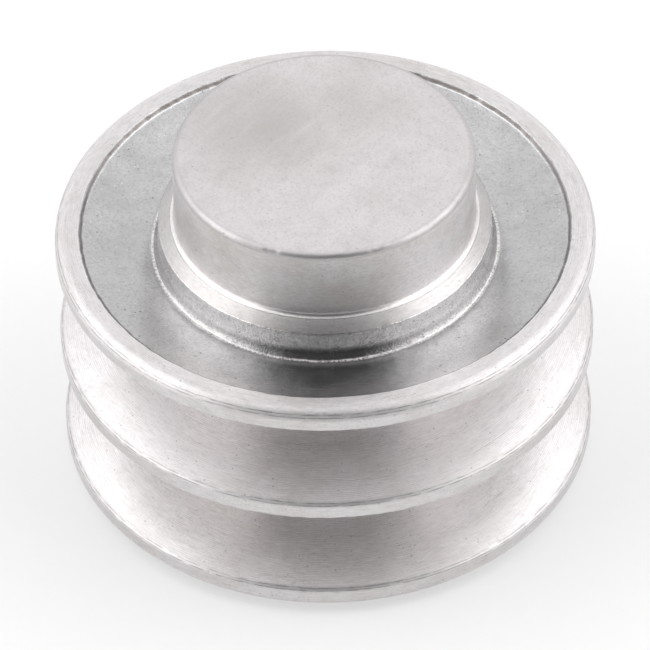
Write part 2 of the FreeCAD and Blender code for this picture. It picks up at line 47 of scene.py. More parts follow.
# Sizes of the casting, millimetres. Heights are from the rim's rear face. Pairs are (radius, height).
REAR_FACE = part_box("pulley_casting")[0].z / MM
OUTSIDE_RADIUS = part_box("pulley_casting")[1].x / MM
HUB_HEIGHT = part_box("pulley_casting")[1].z / MM - REAR_FACE
HUB_RADIUS = 23.6
LEDGE_TOP = (24.45, 44.6)
BASE_TOP = (26.2, 43.15)
WALL_FOOT = (26.36, 39.25)
BASE_FOOT = (27.2, 38.3)
RECESS_RADIUS = 38.1
RECESS_HEIGHT = 41.25
RIM_FACE_RADIUS = 38.7
RIM_WIDTH = 42.0
GROOVE_CENTRES = (30.5, 11.5)
GROOVE_FLOOR = 28.2
HALF_FLOOR = 3.698
HALF_MOUTH = 8.07
REAR_RIM_RADIUS = 38.0
REAR_LAND_RADIUS = 23.5
DISH_DEPTH = 2.2
DISH_DRAFT = 0.8
SHIELD_SEAT = (20.0, 4.0)
BORE_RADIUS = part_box("front_bearing_outer_ring")[1].x / MM
BORE_CHAMFER = 0.6
SLOT_RADIUS = 18.5
SLOT_REAR = 5.6
SLOT_FRONT = 7.2
SEAT_DEPTH = 49.2
RELIEF = (14.0, 52.2)

# Rounded corners of the casting, millimetres
HUB_ROUND = 1.0
HUB_FOOT_ROUND = 0.8
LEDGE_ROUND = 0.2
BASE_TOP_ROUND = 0.3
WALL_SWEEP = 3.0
BASE_FOOT_ROUND = 0.1
RECESS_ROUND = 0.4
RIM_ROUND = 1.6
REAR_RIM_ROUND = 0.9
LAND_ROUND = 0.3
FLANGE_ROUND = 0.9
FLOOR_ROUND = 0.8
EDGE_WEAR = 0.14

# How finely the casting is cut into faces
SEGMENTS = 440
ARC_STEP = math.radians(16)
SMALL_ARC_STEP = math.radians(24)
SMALL_ROUND = 0.5
FEWEST_ARC_STEPS = 3
ON_AXIS = 1e-6

# Finishes of the casting, in the order of its material slots, with the spacing of the mesh along each
FACED, BOSS, LEDGE, TURNED, WORN, GROOVED, WALL, CAST, REAR_CAST, BORED = range(10)
UNEVEN = (WALL, CAST)
SPACING = {
    FACED: 4.8,
    BOSS: 4.0,
    LEDGE: 0.9,
    TURNED: 3.0,
    GROOVED: 5.0,
    WALL: 0.28,
    CAST: 0.30,
    REAR_CAST: 0.8,
    BORED: 12.0,
}


def casting_corners():
    """(radius, height, round, finish of the stretch that ends here), from the face round to the bore."""
    corners = [
        (0, HUB_HEIGHT, 0, FACED),
        (HUB_RADIUS, HUB_HEIGHT, HUB_ROUND, FACED),
        (HUB_RADIUS, LEDGE_TOP[1], HUB_FOOT_ROUND, BOSS),
        (*LEDGE_TOP, LEDGE_ROUND, LEDGE),
        (*BASE_TOP, BASE_TOP_ROUND, LEDGE),
        (*WALL_FOOT, WALL_SWEEP, WALL),
        (*BASE_FOOT, BASE_FOOT_ROUND, WALL),
        (RECESS_RADIUS, RECESS_HEIGHT, RECESS_ROUND, CAST),
        (RIM_FACE_RADIUS, RIM_WIDTH, EDGE_WEAR, CAST),
        (OUTSIDE_RADIUS, RIM_WIDTH, RIM_ROUND, TURNED),
    ]
    for centre in GROOVE_CENTRES:
        corners += [
            (OUTSIDE_RADIUS, centre + HALF_MOUTH, LAND_ROUND, TURNED),
            (GROOVE_FLOOR, centre + HALF_FLOOR, FLOOR_ROUND, GROOVED),
            (GROOVE_FLOOR, centre - HALF_FLOOR, FLOOR_ROUND, GROOVED),
            (OUTSIDE_RADIUS, centre - HALF_MOUTH, FLANGE_ROUND, GROOVED),
        ]
    return corners + [
        (OUTSIDE_RADIUS, 0, REAR_RIM_ROUND, TURNED),
        (REAR_RIM_RADIUS, 0, EDGE_WEAR, TURNED),
        (REAR_RIM_RADIUS - DISH_DRAFT, DISH_DEPTH, DISH_DRAFT, REAR_CAST),
        (REAR_LAND_RADIUS + DISH_DRAFT, DISH_DEPTH, DISH_DRAFT, REAR_CAST),
        (REAR_LAND_RADIUS, 0, EDGE_WEAR, REAR_CAST),
        (SHIELD_SEAT[0] + BORE_CHAMFER, 0, 0, TURNED),
        (SHIELD_SEAT[0], BORE_CHAMFER, 0, TURNED),
        (*SHIELD_SEAT, 0, BORED),
        (BORE_RADIUS + BORE_CHAMFER, SHIELD_SEAT[1], 0, BORED),
        (BORE_RADIUS, SHIELD_SEAT[1] + BORE_CHAMFER, 0, BORED),
        (BORE_RADIUS, SLOT_REAR, 0, BORED),
        (SLOT_RADIUS, SLOT_REAR, 0, BORED),
        (SLOT_RADIUS, SLOT_FRONT, 0, BORED),
        (BORE_RADIUS, SLOT_FRONT, 0, BORED),
        (BORE_RADIUS, SEAT_DEPTH, 0, BORED),
        (RELIEF[0], SEAT_DEPTH, 0, BORED),
        (*RELIEF, 0, BORED),
        (0, RELIEF[1], 0, BORED),
    ]


def finish_of_round(radius, before, beyond):
    """The finish of a rounded corner between two stretches."""
    if radius == OUTSIDE_RADIUS:
        return WORN
    if before in UNEVEN or beyond in UNEVEN:
        return max(before, beyond)
    return min(before, beyond)


def rounded_corner(before, corner, after, rounding):
    """Where the arc of a rounded corner starts, and the points along it."""
    along = (corner - before).normalized()
    onward = (after - corner).normalized()
    turn = along.angle(onward)
    reach = rounding * math.tan(turn / 2)
    start = corner - along * reach
    end = corner + onward * reach
    inward = Vector((onward.x - along.x, onward.y - along.y)).normalized()
    centre = corner + inward * (rounding / math.cos(turn / 2))
    first = start - centre
    last = end - centre
    longest_step = ARC_STEP if rounding > SMALL_ROUND else SMALL_ARC_STEP
    steps = max(FEWEST_ARC_STEPS, math.ceil(turn / longest_step))
    arc = []
    for step in range(1, steps + 1):
        share = turn * step / steps
        spoke = (first * math.sin(turn - share) + last * math.sin(share)) / math.sin(turn)
        arc.append(centre + spoke)
    return start, arc


def profile_from(corners, spacing):
    """(point, finish of the stretch that ends there) along an outline with rounded corners."""
    here = Vector(corners[0][:2])
    points = [(here, corners[0][3])]
    for index in range(1, len(corners)):
        radius, height, rounding, finish = corners[index]
        following = corners[min(index + 1, len(corners) - 1)]
        start = Vector((radius, height))
        arc = []
        if rounding:
            before = Vector(corners[index - 1][:2])
            start, arc = rounded_corner(before, start, Vector(following[:2]), rounding)
        pieces = max(1, math.ceil((start - here).length / spacing[finish]))
        points += [(here.lerp(start, step / pieces), finish) for step in range(1, pieces + 1)]
        points += [(point, finish_of_round(radius, finish, following[3])) for point in arc]
        here = points[-1][0]
    return points


def fractal(point, across, octaves=3):
    """Smooth noise between about -1 and 1, whose largest lumps are about so many millimetres across."""
    finer = 2.03
    offset = Vector((3.1, 7.7, 1.9))
    total = 0.0
    weight = 1.0
    at = point / across
    for _ in range(octaves):
        total += weight * noise.noise(at)
        weight *= 0.5
        at = at * finer + offset
    return total


def roughen_front_skin(radius, height, at):
    """Cast skin of the front: lumps, a ridge of flash at the base's foot, a ragged edge at the rim."""
    coarse_depth = 0.055
    fine_depth = 0.022
    ragged_depth = 0.10
    edge_band = 0.5
    top_band = 0.6
    wall_rise = 1.2
    flash_width = 0.26
    flash_height = 0.20
    flash_overhang = 0.04
    lumps = coarse_depth * fractal(at, across=7.0) + fine_depth * fractal(at, across=1.6, octaves=2)
    if radius > RECESS_RADIUS - edge_band:
        return radius + ragged_depth * fractal(at, across=1.8), height + 0.3 * lumps
    if height > BASE_TOP[1] - top_band:
        return radius + 0.4 * lumps, height + 0.05 * fractal(at, across=1.5)
    elsewhere = at + Vector((40, 0, 0))
    swell = 0.55 + 0.5 * fractal(elsewhere, across=5.0, octaves=2)
    crumbs = 1.0 + 0.6 * fractal(at, across=0.9, octaves=2)
    from_foot = math.hypot(radius - BASE_FOOT[0], height - BASE_FOOT[1])
    flash = swell * crumbs * math.exp(-((from_foot / flash_width) ** 2))
    on_wall = min(1.0, max(0.0, (height - BASE_FOOT[1]) / wall_rise))
    outward = (0.9 * lumps + flash_overhang * flash) * (0.35 + 0.65 * on_wall)
    upward = (0.9 * lumps + flash_height * flash) * (1 - on_wall)
    return radius + outward, height + upward


def roughen_rear_skin(radius, height, at):
    """Cast skin of the rear dish: gentle lumps that fade out at its turned edges."""
    coarse_depth = 0.07
    fine_depth = 0.02
    fade_depth = 0.8
    inside = min(1.0, max(0.0, height / fade_depth))
    lumps = coarse_depth * fractal(at, across=6.0) + fine_depth * fractal(at, across=1.5, octaves=2)
    return radius, height + inside * lumps


def roughen_groove_mouths(radius, height, at):
    """Small nicks along the front edge of each groove."""
    nick_depth = 0.20
    nick_width = 0.25
    for centre in GROOVE_CENTRES:
        from_edge = math.hypot(radius - OUTSIDE_RADIUS, height - centre - HALF_MOUTH)
        nick = nick_depth * max(0.0, fractal(at, across=1.1, octaves=2))
        height -= nick * math.exp(-((from_edge / nick_width) ** 2))
    return radius, height


def roughen_hub_edge(radius, height, at):
    """A few shallow dents round the edge of the boss's face."""
    untouched = 0.25
    elsewhere = at + Vector((0, 0, 90))
    dents = max(0.0, fractal(elsewhere, across=2.2, octaves=2) - untouched)
    return radius - 0.10 * dents, height - 0.12 * dents


def roughen_casting(radius, height, angle, finish):
    """Where one point of the casting really lies: cast skin is uneven, cut edges are a little ragged."""
    mouth_band = 0.6
    hub_edge_band = 1.1
    at = Vector((radius * math.cos(angle), radius * math.sin(angle), height))
    if finish in UNEVEN:
        return roughen_front_skin(radius, height, at)
    if finish == REAR_CAST:
        return roughen_rear_skin(radius, height, at)
    if finish in (TURNED, WORN, GROOVED) and radius > OUTSIDE_RADIUS - mouth_band:
        return roughen_groove_mouths(radius, height, at)
    if finish == FACED and radius > HUB_RADIUS - hub_edge_band:
        return roughen_hub_edge(radius, height, at)
    return radius, height


def lathe(name, points, shift, materials, roughen):
    """A closed turned piece about the Z axis, from a profile that starts and ends on the axis."""
    shading_weight = 80
    vertices = []
    rings = []
    for index, (point, finish) in enumerate(points):
        if point.x < ON_AXIS:
            rings.append([len(vertices)] * SEGMENTS)
            vertices.append((0, 0, (point.y + shift) * MM))
            continue
        rings.append(range(len(vertices), len(vertices) + SEGMENTS))
        beyond = points[index + 1][1]
        rougher = max(finish, beyond) if finish in UNEVEN or beyond in UNEVEN else finish
        for segment in range(SEGMENTS):
            angle = math.tau * segment / SEGMENTS
            radius, height = roughen(point.x, point.y, angle, rougher)
            x = radius * MM * math.sin(angle)
            y = -radius * MM * math.cos(angle)
            vertices.append((x, y, (height + shift) * MM))
    faces = []
    slots = []
    for upper, lower, (_, finish) in zip(rings, rings[1:], points[1:]):
        for segment in range(SEGMENTS):
            after = (segment + 1) % SEGMENTS
            face = [upper[segment], lower[segment], lower[after], upper[after]]
            faces.append([vertex for place, vertex in enumerate(face) if vertex not in face[:place]])
            slots.append(finish)
    mesh = bpy.data.meshes.new(name)
    mesh.from_pydata(vertices, [], faces)
    for material in materials:
        mesh.materials.append(material)
    mesh.polygons.foreach_set("material_index", slots)
    mesh.polygons.foreach_set("use_smooth", [True] * len(faces))
    mesh.update()
    piece = bpy.data.objects.new(name, mesh)
    bpy.context.scene.collection.objects.link(piece)
    piece.modifiers.new("Even shading", "WEIGHTED_NORMAL").weight = shading_weight
    return piece


def shade(colour, factor):
    """A colour made darker (factor below 1) or lighter (above 1)."""
    return tuple(min(1.0, part * factor) for part in colour)


class Wiring:
    """A node tree, and short ways to add nodes to it."""

    def __init__(self, tree):
        self.nodes = tree.nodes
        self.links = tree.links

    def add(self, kind, *inputs, **settings):
        """A new node with its settings, and its first inputs linked or set."""
        node = self.nodes.new(kind)
        for key, value in settings.items():
            setattr(node, key, value)
        for socket, value in zip(node.inputs, inputs):
            if isinstance(value, bpy.types.NodeSocket):
                self.links.new(value, socket)
            else:
                socket.default_value = value
        return node

    def mixed(self, share, first, second):
        """The first colour where share is 0, the second where it is 1."""
        node = self.add("ShaderNodeMix", share, data_type="RGBA")
        for socket, value in ((node.inputs[6], first), (node.inputs[7], second)):
            if isinstance(value, bpy.types.NodeSocket):
                self.links.new(value, socket)
            else:
                socket.default_value = (*value, 1)
        return node.outputs[2]


class Finish(Wiring):
    """A material: principled shader, object coordinates, and short ways to add noise to them."""

    QUARTER_TURN = 0.25
    TILT = (0.7, 0.5, 0.9)
    HEIGHT_SLANT = -1.37  # tool marks follow radius + slant * height, so that they show on every slope
    WAVE_PERIOD = math.tau / 20  # of Blender's wave texture, in its own coordinates
    CELLS_PER_SPECK = 2.6
    SPECK_CORE = 0.12
    SPECK_EDGE = 0.30

    def __init__(self, name, metallic, brushed=0.0):
        self.material = bpy.data.materials.new(name)
        self.material.use_nodes = True
        super().__init__(self.material.node_tree)
        self.shader = self.nodes["Principled BSDF"]
        self.shader.inputs["Metallic"].default_value = metallic
        if brushed:
            self.shader.inputs["Anisotropic"].default_value = brushed
            self.shader.inputs["Anisotropic Rotation"].default_value = self.QUARTER_TURN
            tangent = self.add("ShaderNodeTangent", direction_type="RADIAL", axis="Z")
            self.links.new(tangent.outputs[0], self.shader.inputs["Tangent"])
        self.place = self.add("ShaderNodeTexCoord").outputs["Object"]

    def maths(self, operation, first, second):
        return self.add("ShaderNodeMath", first, second, operation=operation).outputs[0]

    def times(self, first, second):
        return self.maths("MULTIPLY", first, second)

    def inverse(self, value):
        """1 minus the value: raised where a mask is 0."""
        return self.maths("SUBTRACT", 1.0, value)

    def vector_maths(self, operation, *inputs):
        return self.add("ShaderNodeVectorMath", *inputs, operation=operation).outputs

    def joined(self, *parts):
        """A vector from three numbers."""
        return self.add("ShaderNodeCombineXYZ", *parts).outputs[0]

    def noise(self, size_mm, detail=3.0, roughness=0.55, place=None, distortion=0.0):
        """Noise between 0 and 1 with lumps about size_mm across."""
        node = self.add("ShaderNodeTexNoise", place or self.place)
        node.inputs["Scale"].default_value = 1 / (size_mm * MM)
        node.inputs["Detail"].default_value = detail
        node.inputs["Roughness"].default_value = roughness
        node.inputs["Distortion"].default_value = distortion
        return node.outputs["Fac"]

    def remap(self, value, low, high, to_low=0.0, to_high=1.0):
        """The value's range low to high, stretched over to_low to to_high and kept within them."""
        return self.add("ShaderNodeMapRange", value, low, high, to_low, to_high).outputs[0]

    def layered(self, surface, *layers):
        """Colours laid over a surface, from (mask, low, high, share, colour) layers.

        A layer shows from where its mask passes low, and reaches its full share where the mask is high.
        """
        for mask, low, high, share, colour in layers:
            surface = self.mixed(self.remap(mask, low, high, 0.0, share), surface, colour)
        return surface

    def shades(self, value, *stops):
        """A colour ramp through (position, (red, green, blue)) stops."""
        ramp = self.add("ShaderNodeValToRGB", value)
        elements = ramp.color_ramp.elements
        while len(elements) < len(stops):
            elements.new(0.5)
        for element, (position, colour) in zip(elements, stops):
            element.position = position
            element.color = (*colour, 1)
        return ramp.outputs[0]

    def around_axis(self):
        """The vector straight out from the axis, its length, and the height along the axis."""
        parts = self.add("ShaderNodeSeparateXYZ", self.place).outputs
        outward = self.joined(parts[0], parts[1], 0.0)
        return outward, self.vector_maths("LENGTH", outward)["Value"], parts[2]

    def turned_place(self, lines_per_mm, waver):
        """Coordinates that turn noise into tool marks: fine across the cut, drawn out round the axis."""
        outward, radius, height = self.around_axis()
        unit = self.vector_maths("NORMALIZE", outward)[0]
        round_axis = self.add("ShaderNodeVectorMath", unit, operation="SCALE")
        round_axis.inputs["Scale"].default_value = waver
        drop = self.times(height, self.HEIGHT_SLANT)
        along = self.times(self.maths("ADD", radius, drop), lines_per_mm / MM)
        across = self.add("ShaderNodeSeparateXYZ", round_axis.outputs[0]).outputs
        return self.joined(along, across[0], across[1])

    def streaks(self, lines_per_mm, waver, detail=2.0):
        """Irregular tool marks, drawn out round the axis."""
        node = self.add("ShaderNodeTexNoise", self.turned_place(lines_per_mm, waver))
        node.inputs["Scale"].default_value = 1.0
        node.inputs["Detail"].default_value = detail
        return node.outputs["Fac"]

    def feed_lines(self, pitch_mm, waver):
        """Even tool marks a fixed pitch apart, a little wavy."""
        place = self.turned_place(self.WAVE_PERIOD / pitch_mm, waver)
        node = self.add("ShaderNodeTexWave", place, wave_type="BANDS", bands_direction="X")
        node.inputs["Scale"].default_value = 1.0
        node.inputs["Distortion"].default_value = 2.2
        node.inputs["Detail"].default_value = 2.0
        node.inputs["Detail Scale"].default_value = 1.6
        return node.outputs["Fac"]

    def patch(self, x_mm, y_mm, radius_mm, edge_mm):
        """1 inside a soft round patch seen along the axis, 0 outside, with an uneven edge."""
        centre = (x_mm * MM, y_mm * MM, 0.0)
        flat = self.vector_maths("MULTIPLY", self.place, (1.0, 1.0, 0.0))[0]
        away = self.vector_maths("DISTANCE", flat, centre)["Value"]
        edge = 2 * edge_mm * MM
        wander = self.noise(edge_mm * 1.3, detail=4.0, roughness=0.6, place=self.tilted())
        uneven = self.times(wander, edge)
        reach = radius_mm * MM
        return self.remap(self.maths("ADD", away, uneven), reach, reach + edge, 1.0, 0.0)

    def ring(self, radius_mm, height_mm, core_mm, edge_mm):
        """1 within core_mm of a circle round the axis, 0 further than edge_mm from it."""
        _, radius, height = self.around_axis()
        here = self.joined(radius, height, 0.0)
        circle = (radius_mm * MM, (height_mm + REAR_FACE) * MM, 0.0)
        away = self.vector_maths("DISTANCE", here, circle)["Value"]
        return self.remap(away, core_mm * MM, edge_mm * MM, 1.0, 0.0)

    def tilted(self):
        """Object coordinates turned about all three axes, so that noise shows no grid on a flat face."""
        node = self.add("ShaderNodeMapping", self.place)
        node.inputs["Rotation"].default_value = self.TILT
        return node.outputs[0]

    def specks(self, size_mm, share):
        """1 inside scattered small specks, 0 elsewhere; share is the part of the cells that have one."""
        cells = self.add("ShaderNodeTexVoronoi", self.place)
        cells.inputs["Scale"].default_value = 1 / (size_mm * self.CELLS_PER_SPECK * MM)
        chance = self.add("ShaderNodeSeparateColor", cells.outputs["Color"]).outputs[0]
        chosen = self.maths("LESS_THAN", chance, share)
        inside = self.remap(cells.outputs["Distance"], self.SPECK_CORE, self.SPECK_EDGE, 1.0, 0.0)
        return self.times(inside, chosen)

    def colour(self, socket):
        self.links.new(socket, self.shader.inputs["Base Color"])

    def roughness(self, socket):
        self.links.new(socket, self.shader.inputs["Roughness"])

    def relief(self, *layers):
        """Bump from (height socket, depth in millimetres) layers, one over another."""
        normal = None
        for height, depth in layers:
            bump = self.add("ShaderNodeBump")
            bump.inputs["Strength"].default_value = 1.0
            bump.inputs["Distance"].default_value = depth * MM
            self.links.new(height, bump.inputs["Height"])
            if normal:
                self.links.new(normal, bump.inputs["Normal"])
            normal = bump.outputs[0]
        self.links.new(normal, self.shader.inputs["Normal"])


def turned_aluminium(name, pitch_mm=0.36, contrast=0.08, depth=0.0012, tint=(0.655, 0.637, 0.640),
                     roughness=0.30, stain=0.5, dark_edge_lines=()):
    """Machined aluminium: feed marks that spread the light across them, faint stains and pits."""
    waver = 2.5
    browning = (0.74, 0.72, 0.66)
    pit_colour = (0.24, 0.23, 0.22)
    look = Finish(name, metallic=1.0, brushed=0.55)
    marks = look.feed_lines(pitch_mm, waver)
    drift = look.streaks(1.6, waver, detail=3.0)
    scuffs = look.streaks(2.6, waver=22.0, detail=3.0)
    stains = look.noise(13.0, detail=5.0, roughness=0.6, place=look.tilted())
    grain = look.noise(0.42, detail=3.0, roughness=0.75)
    dirt = look.noise(5.0, detail=3.0, roughness=0.6)
    pits = look.specks(0.24, 0.04)

    lines = look.maths("ADD", look.times(marks, 0.6), look.times(drift, 0.4))
    surface = look.mixed(lines, shade(tint, 1 - contrast), shade(tint, 1 + contrast))
    brown = tuple(part * share for part, share in zip(tint, browning))
    surface = look.layered(surface, (stains, 0.46, 0.74, stain, brown))
    grained = look.times(look.remap(grain, 0.50, 0.68), look.remap(dirt, 0.35, 0.65, 0.10, 0.55))
    surface = look.mixed(grained, surface, shade(tint, 0.62))
    surface = look.layered(
        surface,
        (scuffs, 0.54, 0.72, 0.5, shade(tint, 0.72)),
        (scuffs, 0.46, 0.30, 0.5, shade(tint, 1.16)),
    )
    # Thin broken dark lines painted round the rounded edges, at the places that edge_lines gives.
    for radius, height in dark_edge_lines:
        broken = look.remap(scuffs, 0.34, 0.56, 0.05, 0.95)
        line = look.times(look.ring(radius, height, core_mm=0.03, edge_mm=0.14), broken)
        surface = look.mixed(line, surface, shade(tint, 0.50))
    look.colour(look.mixed(look.times(pits, 0.55), surface, pit_colour))

    look.roughness(look.remap(drift, 0.3, 0.7, roughness - 0.04, roughness + 0.05))
    swell = look.noise(2.2, detail=3.0)
    look.relief((swell, 0.005), (marks, depth), (grain, 0.003), (look.inverse(pits), 0.025))
    return look.material


def faced_aluminium(name):
    """The boss's closed face: ground, handled and mottled, with pits and short scratches, and painted
    shade on its left side and round its edge.
    """
    pale = (0.615, 0.593, 0.597)
    olive = (0.43, 0.418, 0.397)
    pit_colour = (0.30, 0.28, 0.27)
    look = Finish(name, metallic=1.0)
    tilted = look.tilted()
    clouds = look.noise(6.0, detail=5.0, roughness=0.65, place=tilted)
    blotches = look.noise(1.9, detail=4.0, roughness=0.7, place=tilted)
    grain = look.noise(0.45, detail=3.0, roughness=0.7, place=tilted)
    pits = look.specks(0.26, 0.06)
    slanted = look.add("ShaderNodeMapping", tilted)
    slanted.inputs["Scale"].default_value = (1.0, 0.10, 0.6)
    scratches = look.noise(0.55, detail=2.0, roughness=0.5, place=slanted.outputs[0])
    smears = look.noise(3.2, detail=4.0, roughness=0.65, place=slanted.outputs[0])

    large_stain = look.patch(-9.0, 5.0, 7.0, 7.0)
    small_stain = look.patch(4.0, 11.0, 5.0, 7.0)
    stain = look.maths("MAXIMUM", large_stain, look.times(small_stain, 0.7))
    # Painted shade: a soft grey patch darkens the left of the face, so that its right side reads
    # brighter.
    painted_side_shade = look.patch(-15.0, 9.0, 9.0, 8.0)
    surface = look.mixed(look.times(stain, 0.85), pale, olive)
    surface = look.mixed(look.times(painted_side_shade, 0.40), surface, (0.43, 0.415, 0.418))
    surface = look.layered(
        surface,
        (clouds, 0.42, 0.70, 0.40, (0.48, 0.467, 0.462)),
        (blotches, 0.50, 0.68, 0.28, (0.44, 0.428, 0.425)),
        (smears, 0.48, 0.72, 0.30, (0.69, 0.67, 0.67)),
        (grain, 0.48, 0.70, 0.42, (0.38, 0.368, 0.363)),
        (scratches, 0.66, 0.74, 0.25, (0.42, 0.41, 0.40)),
    )
    # Painted shade: the rounded edge of the face darkened, which tones down its highlight.
    edge = look.ring(HUB_RADIUS - 0.3, HUB_HEIGHT - 0.3, core_mm=0.4, edge_mm=0.9)
    surface = look.mixed(look.times(edge, 0.5), surface, shade(pale, 0.6))
    look.colour(look.mixed(look.times(pits, 0.5), surface, pit_colour))

    look.roughness(look.remap(clouds, 0.3, 0.7, 0.40, 0.52))
    look.relief((clouds, 0.03), (grain, 0.006), (scratches, 0.004), (look.inverse(pits), 0.03))
    return look.material


def cast_aluminium(name, tint=(0.44, 0.440, 0.442), roughness=0.19, grit=1.0):
    """As-cast skin: cool grey, semi-gloss and freckled, with painted glints, painted shade at the wall's
    foot and in the rim's step, and a ridge of flash painted lighter as a highlight.
    """
    pit_colour = (0.14, 0.14, 0.14)
    # Colour of the painted shade line in the rim's step
    step_shade_colour = (0.20, 0.175, 0.165)
    # Lighter colour of the flash crumbs, a painted highlight
    flash_highlight_colour = (0.74, 0.73, 0.72)
    look = Finish(name, metallic=1.0)
    patches = look.noise(7.0, detail=4.0, roughness=0.6)
    blotches = look.noise(2.2, detail=4.0, roughness=0.6)
    freckles = look.noise(0.45, detail=3.0, roughness=0.7)
    grain = look.noise(0.22, detail=2.0, roughness=0.6)
    pits = look.specks(0.30, 0.035)
    glint_specks = look.specks(0.20, 0.10)

    surface = look.layered(
        tint,
        (patches, 0.36, 0.66, 1.0, shade(tint, 1.12)),
        (blotches, 0.48, 0.70, 0.35, shade(tint, 0.80)),
        (freckles, 0.48, 0.66, 0.28 + 0.12 * grit, shade(tint, 0.50)),
        (grain, 0.50, 0.38, 0.05 + 0.10 * grit, shade(tint, 1.35)),
    )
    surface = look.mixed(look.times(pits, 0.7), surface, pit_colour)
    # Painted glints: small scattered specks lightened to nearly twice the skin's colour.
    surface = look.mixed(look.times(glint_specks, 0.5), surface, shade(tint, 1.9))

    # Painted shade: the corner at the wall's foot darkened, at most to about a third of the skin's
    # colour, most strongly in a stretch at the front.
    foot_shade = look.ring(BASE_FOOT[0] - 0.4, BASE_FOOT[1] + 0.8, core_mm=0.5, edge_mm=1.3)
    foot_shade_share = look.remap(look.patch(0.0, -BASE_FOOT[0], 8.0, 3.0), 0.0, 1.0, 0.45, 0.90)
    surface = look.mixed(look.times(foot_shade, foot_shade_share), surface, shade(tint, 0.30))
    # Painted shade: a thin dark line along the step between the cast web and the rim's face.
    step_shade = look.ring(RECESS_RADIUS + 0.3, RECESS_HEIGHT + 0.38, core_mm=0.15, edge_mm=0.38)
    surface = look.mixed(look.times(step_shade, 0.7), surface, step_shade_colour)
    # The ridge of flash is real shape, raised in roughen_front_skin; its crumbs are painted lighter here
    # as a painted highlight.
    crumbs = look.remap(look.noise(0.45, detail=3.0, roughness=0.8), 0.42, 0.54)
    ridge = look.ring(BASE_FOOT[0] + 0.06, BASE_FOOT[1] + 0.08, core_mm=0.12, edge_mm=0.34)
    flash = look.times(ridge, crumbs)
    look.colour(look.mixed(flash, surface, flash_highlight_colour))

    shine = look.remap(patches, 0.3, 0.7, roughness - 0.03, roughness + 0.08)
    look.roughness(look.maths("ADD", shine, look.times(flash, 0.35)))
    lumps = ((patches, 0.05), (blotches, 0.03))
    look.relief(*lumps, (freckles, 0.016 * grit), (grain, 0.010 * grit), (look.inverse(pits), 0.04))
    return look.material


def steel(name, tint, roughness, depth=0.003):
    """Ground or blackened steel: fine tool marks and a little unevenness in its shine."""
    look = Finish(name, metallic=1.0)
    marks = look.streaks(5.0, waver=1.2)
    clouds = look.noise(3.0, detail=4.0, roughness=0.6)
    surface = look.layered(
        tint,
        (clouds, 0.35, 0.7, 1.0, shade(tint, 0.86)),
        (marks, 0.45, 0.75, 0.30, shade(tint, 0.8)),
    )
    look.colour(surface)
    look.roughness(look.remap(clouds, 0.3, 0.7, roughness - 0.04, roughness + 0.07))
    look.relief((marks, depth), (look.noise(0.5, detail=3.0), 0.004))
    return look.material


def plated_steel(name):
    """Zinc plate: pale, faintly iridescent patches of yellow and blue."""
    blue = (0.66, 0.68, 0.72)
    plain = (0.74, 0.73, 0.70)
    yellow = (0.70, 0.66, 0.58)
    spangle_colour = (0.52, 0.53, 0.55)
    look = Finish(name, metallic=1.0)
    clouds = look.noise(5.0, detail=3.0, roughness=0.6, distortion=1.0)
    spangle = look.noise(0.7, detail=3.0, roughness=0.7)
    surface = look.shades(clouds, (0.30, blue), (0.50, plain), (0.68, yellow))
    look.colour(look.layered(surface, (spangle, 0.45, 0.7, 0.3, spangle_colour)))
    look.roughness(look.remap(spangle, 0.3, 0.7, 0.26, 0.38))
    look.relief((spangle, 0.010), (look.streaks(2.5, waver=1.5), 0.004))
    return look.material


def moulded(name, tint, roughness, grain_mm, depth):
    """Rubber or nylon: dull, finely grained, with lighter scuffs."""
    look = Finish(name, metallic=0.0)
    grain = look.noise(grain_mm, detail=3.0, roughness=0.65)
    scuffs = look.noise(2.4, detail=5.0, roughness=0.7)
    lighter = tuple(min(1.0, part * 1.7 + 0.03) for part in tint)
    look.colour(look.layered(tint, (scuffs, 0.52, 0.72, 0.5, lighter)))
    look.roughness(look.remap(grain, 0.3, 0.7, roughness - 0.06, roughness + 0.08))
    look.relief((grain, depth), (scuffs, 0.01))
    return look.material


def edge_lines():
    """(radius, height) of the thin dark lines painted round the rim's corner and the groove mouths."""
    rim_line_angles = (25.0, 42.5)
    mouth_line_angles = (21.8, 50.5)
    lines = []
    for angle in map(math.radians, rim_line_angles):
        radius = OUTSIDE_RADIUS + RIM_ROUND * (math.cos(angle) - 1)
        height = RIM_WIDTH + RIM_ROUND * (math.sin(angle) - 1)
        lines.append((radius, height))
    slope = math.atan2(OUTSIDE_RADIUS - GROOVE_FLOOR, HALF_MOUTH - HALF_FLOOR)
    reach = FLANGE_ROUND * math.tan(slope / 2)
    for centre in GROOVE_CENTRES:
        for angle in map(math.radians, mouth_line_angles):
            radius = OUTSIDE_RADIUS + FLANGE_ROUND * (math.cos(angle) - 1)
            height = centre - HALF_MOUTH - reach + FLANGE_ROUND * math.sin(angle)
            lines.append((radius, height))
    return lines


